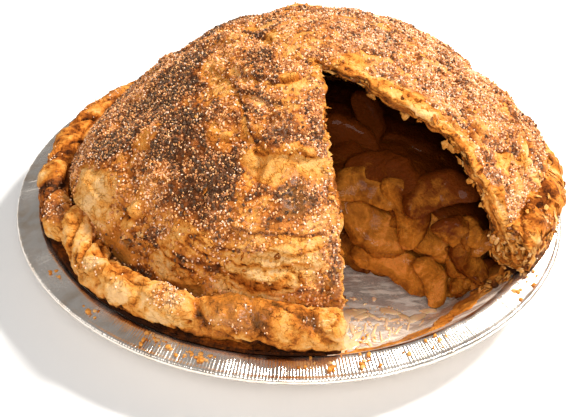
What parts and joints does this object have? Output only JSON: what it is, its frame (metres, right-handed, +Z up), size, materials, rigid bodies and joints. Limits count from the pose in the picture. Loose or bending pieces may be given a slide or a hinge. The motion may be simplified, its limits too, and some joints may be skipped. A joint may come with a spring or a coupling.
{
  "type": "domed apple pie in a foil tin",
  "caption": "Domed apple pie with a rolled edge and coarse sugar, in a round foil tin; a slice is missing and shows the apple filling under a hollow crust.",
  "frame": {"origin": "centre of the tin's flat underside", "axes": "+Z up out of the tin; the missing slice opens towards -Y and +X"},
  "size_m": [0.264, 0.264, 0.115],
  "materials": {
    "foil": "bright rolled foil",
    "bottom_dough": "matt, stained with juice",
    "baked_crust": "matt and flaky with coarse sugar",
    "cooked_apple": "wet with syrup"
  },
  "bodies": {
    "root": {"pie_tin": "foil", "bottom_crust": "bottom_dough", "top_crust": "baked_crust", "apple_filling": "cooked_apple"}
  },
  "joints": []
}
